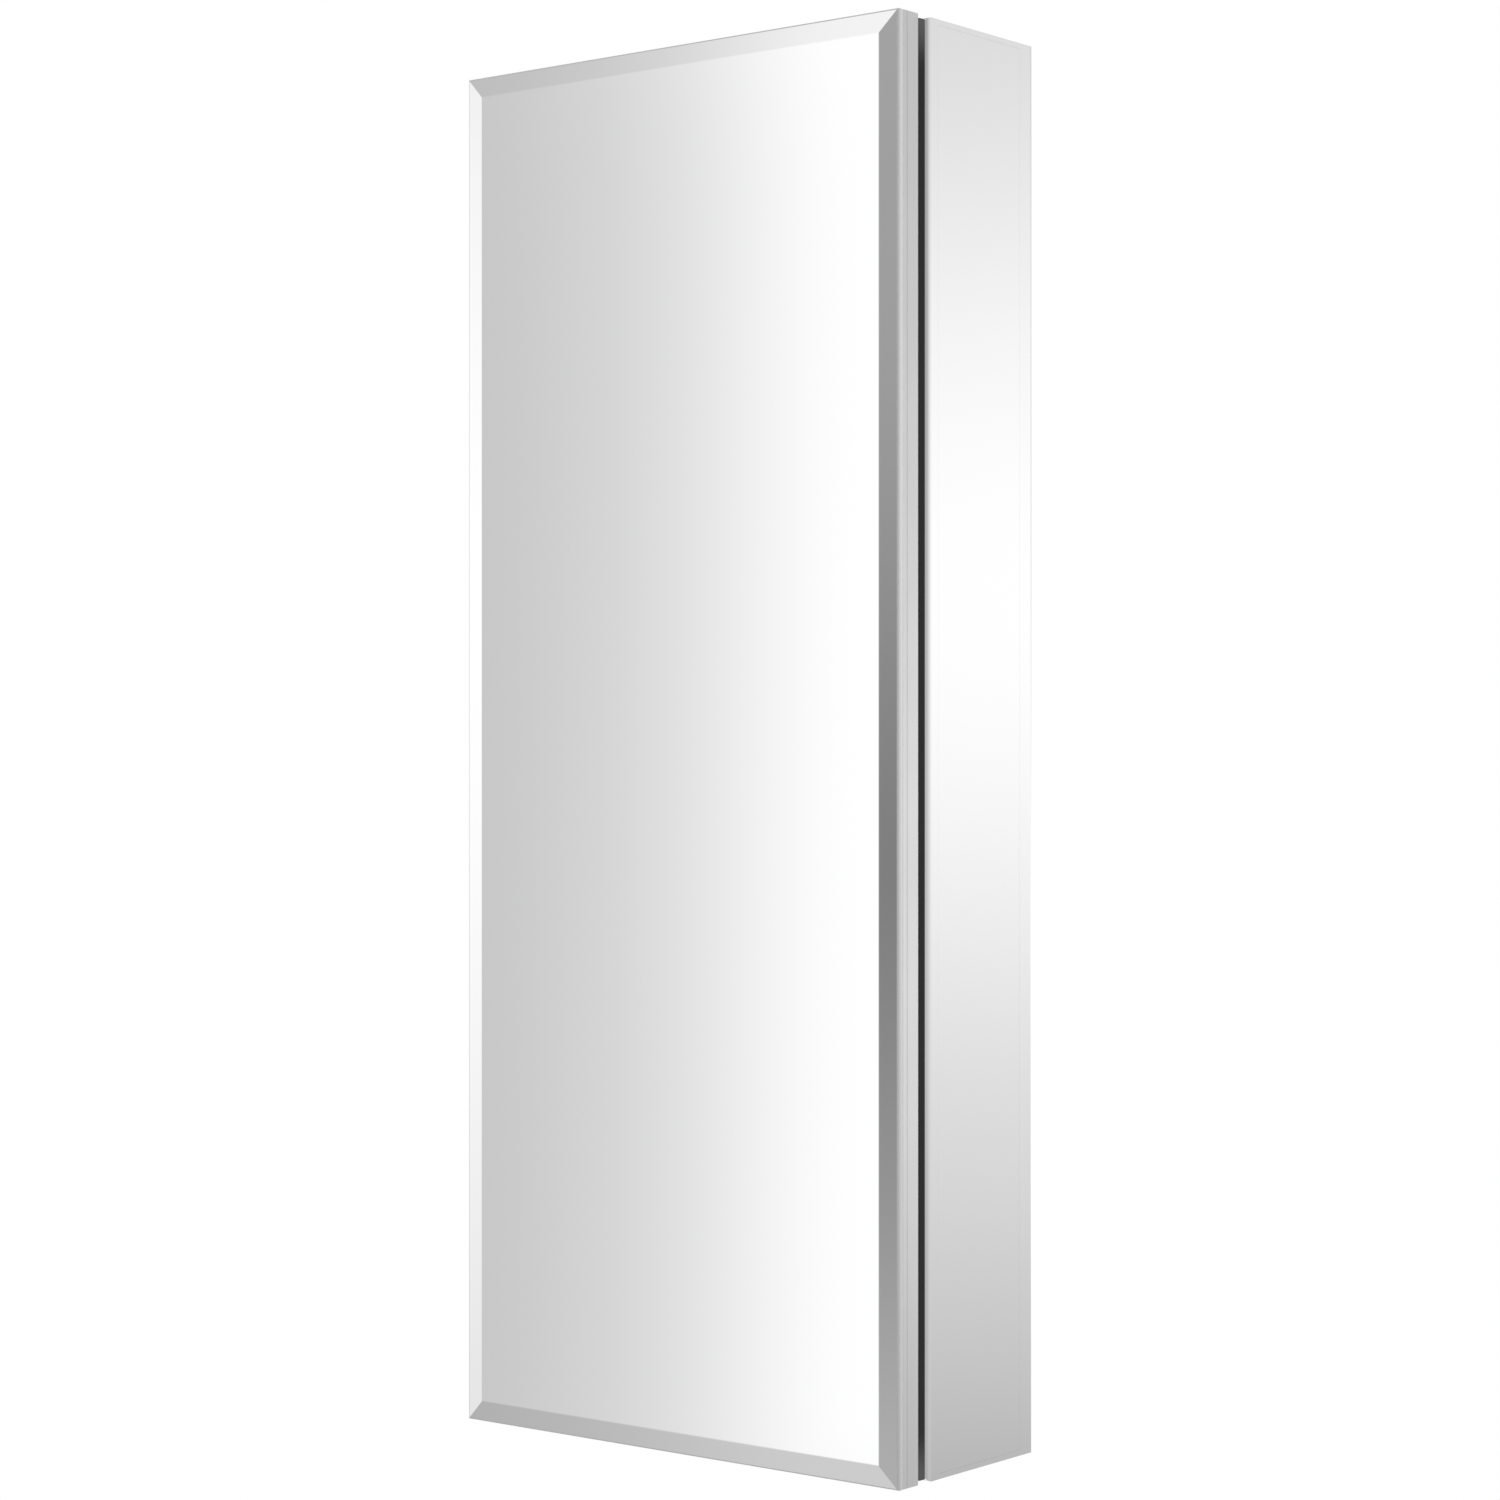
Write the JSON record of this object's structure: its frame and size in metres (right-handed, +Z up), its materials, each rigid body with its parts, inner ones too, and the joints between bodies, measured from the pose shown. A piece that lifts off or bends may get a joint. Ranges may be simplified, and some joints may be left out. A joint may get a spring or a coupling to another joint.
{
  "type": "medicine cabinet",
  "caption": "Tall narrow wall cabinet with a bevelled mirror door on a full-length hinge, mirrored sides and back, and height-adjustable glass shelves.",
  "frame": {"origin": "on the wall plane, in the middle of the four wall screw holes, which is also the middle of the cabinet's height and width", "axes": "+Z up, -Y out of the wall towards the user, +X to the user's right with the door shut"},
  "size_m": [0.3023, 0.1244, 0.762],
  "materials": {
    "anodised_aluminium": "bright anodised",
    "raw_aluminium": "as extruded",
    "mirror_glass": "polished",
    "shelf_glass": "polished",
    "black_rubber": "matt",
    "zinc_sheet": "zinc plated",
    "zinc_screws": "zinc plated",
    "hinge_steel": "brushed",
    "dark_magnet": "matt",
    "white_nylon": "moulded",
    "honeycomb_board": "plain board"
  },
  "bodies": {
    "cabinet": {"left_wall": "anodised_aluminium", "right_wall": "anodised_aluminium", "top_wall": "anodised_aluminium", "bottom_wall": "anodised_aluminium", "wall_corner_keys": "raw_aluminium", "wall_key_screws": "zinc_screws", "left_side_mirror": "mirror_glass", "right_side_mirror": "mirror_glass", "back_mirror": "mirror_glass", "back_sheet": "zinc_sheet", "back_clips": "zinc_sheet", "back_clip_screws": "zinc_screws", "hinge_side_seal": "black_rubber", "free_side_seal": "black_rubber", "top_seal": "black_rubber", "bottom_seal": "black_rubber", "hanging_bracket": "zinc_sheet", "bracket_rivets": "raw_aluminium", "wall_rail": "zinc_sheet", "lower_spacers": "white_nylon", "hinge_body_leaf": "hinge_steel", "hinge_pin": "hinge_steel", "hinge_body_screws": "zinc_screws", "catch_housings": "white_nylon", "catch_magnets": "dark_magnet", "catch_poles": "hinge_steel", "catch_screws": "zinc_screws"},
    "door": {"door_mirror": "mirror_glass", "door_hinge_stile": "anodised_aluminium", "door_free_stile": "anodised_aluminium", "door_top_rail": "anodised_aluminium", "door_bottom_rail": "anodised_aluminium", "door_corner_keys": "raw_aluminium", "door_core": "honeycomb_board", "door_inner_mirror": "mirror_glass", "hinge_door_leaf": "hinge_steel", "hinge_door_screws": "zinc_screws", "strike_plates": "hinge_steel"},
    "lower_shelf_set": {"lower_shelf": "shelf_glass", "lower_shelf_clamps": "anodised_aluminium", "lower_shelf_screws": "zinc_screws", "lower_shelf_nuts": "hinge_steel"},
    "middle_shelf_set": {"middle_shelf": "shelf_glass", "middle_shelf_clamps": "anodised_aluminium", "middle_shelf_screws": "zinc_screws", "middle_shelf_nuts": "hinge_steel"},
    "upper_shelf_set": {"upper_shelf": "shelf_glass", "upper_shelf_clamps": "anodised_aluminium", "upper_shelf_screws": "zinc_screws", "upper_shelf_nuts": "hinge_steel"}
  },
  "joints": [
    {"name": "door_hinge", "type": "hinge", "parent": "cabinet", "child": "door", "pos_m": [-0.148, -0.10145, 0], "axis": [0, 0, -1], "range_deg": [0, 115]},
    {"name": "lower_shelf_slide", "type": "slide", "parent": "cabinet", "child": "lower_shelf_set", "axis": [0, 0, 1], "range_m": [-0.07, 0.07]},
    {"name": "middle_shelf_slide", "type": "slide", "parent": "cabinet", "child": "middle_shelf_set", "axis": [0, 0, 1], "range_m": [-0.07, 0.07]},
    {"name": "upper_shelf_slide", "type": "slide", "parent": "cabinet", "child": "upper_shelf_set", "axis": [0, 0, 1], "range_m": [-0.07, 0.07]}
  ]
}
